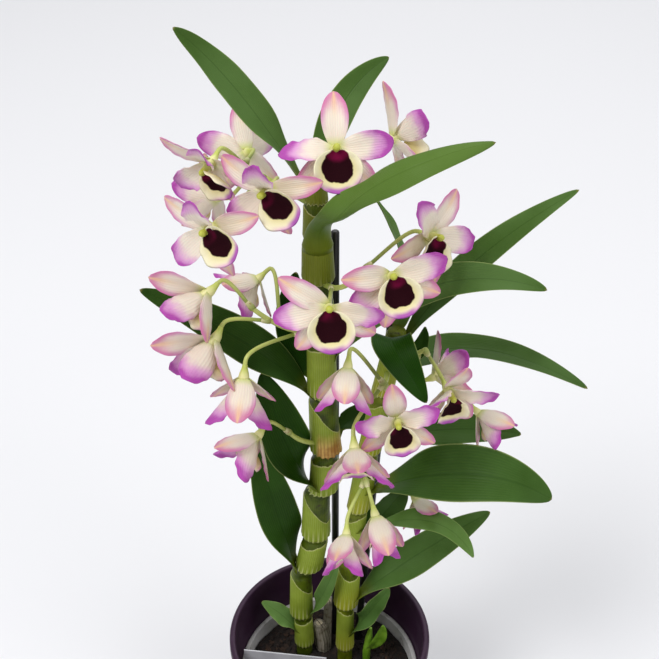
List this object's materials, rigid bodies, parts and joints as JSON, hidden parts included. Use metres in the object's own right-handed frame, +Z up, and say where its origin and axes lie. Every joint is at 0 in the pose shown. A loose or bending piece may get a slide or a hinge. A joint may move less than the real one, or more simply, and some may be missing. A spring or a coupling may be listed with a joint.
{
  "type": "dendrobium orchid",
  "caption": "Potted nobile dendrobium in full flower: jointed canes with strap leaves and cream-to-purple dark-lipped blooms, staked in a round plastic pot that stands on its flat base.",
  "frame": {"origin": "middle of the outer pot's flat base, where it rests", "axes": "+Z up along the plant's height; -Y is the side that the picture looks at; +X is to its right"},
  "size_m": [0.264, 0.1486, 0.556],
  "materials": {
    "pot_plastic": "satin",
    "inner_pot_plastic": "matte",
    "bark": "matte",
    "stake_plastic": "satin",
    "card": "matte",
    "cane_green": "satin",
    "second_cane_green": "satin",
    "stub_bark": "matte",
    "shoot_green": "satin",
    "leaf_green": "satin",
    "petal": "matte"
  },
  "bodies": {
    "root": {"bloom_crown_1": "petal", "bloom_crown_2": "petal", "bloom_far_right_1": "petal", "bloom_far_right_2": "petal", "bloom_far_right_3": "petal", "bloom_front_1": "petal", "bloom_front_2": "petal", "bloom_front_3": "petal", "bloom_left_1": "petal", "bloom_left_2": "petal", "bloom_left_3": "petal", "bloom_left_4": "petal", "bloom_low_left_1": "petal", "bloom_low_right_1": "petal", "bloom_low_right_2": "petal", "bloom_low_right_3": "petal", "bloom_right_1": "petal", "bloom_right_2": "petal", "bloom_right_3": "petal", "bloom_top_left_1": "petal", "bloom_top_left_2": "petal", "bloom_top_left_3": "petal", "bloom_top_left_4": "petal", "bloom_top_left_5": "petal", "cane_main": "cane_green", "cane_second": "second_cane_green", "label_card": "card", "leaf_foot_1": "leaf_green", "leaf_foot_2": "leaf_green", "leaf_foot_3": "leaf_green", "leaf_left_1": "leaf_green", "leaf_left_2": "leaf_green", "leaf_left_3": "leaf_green", "leaf_left_4": "leaf_green", "leaf_low_right_1": "leaf_green", "leaf_low_right_2": "leaf_green", "leaf_low_right_3": "leaf_green", "leaf_low_right_4": "leaf_green", "leaf_mid_1": "leaf_green", "leaf_right_1": "leaf_green", "leaf_right_2": "leaf_green", "leaf_right_3": "leaf_green", "leaf_right_4": "leaf_green", "leaf_right_5": "leaf_green", "leaf_right_6": "leaf_green", "leaf_top_1": "leaf_green", "leaf_top_2": "leaf_green", "leaf_top_3": "leaf_green", "leaf_top_4": "leaf_green", "old_cane_stubs": "stub_bark", "pot_inner": "inner_pot_plastic", "pot_outer": "pot_plastic", "stake_main": "stake_plastic", "stake_second": "stake_plastic", "substrate": "bark", "young_shoot": "shoot_green"}
  },
  "joints": []
}
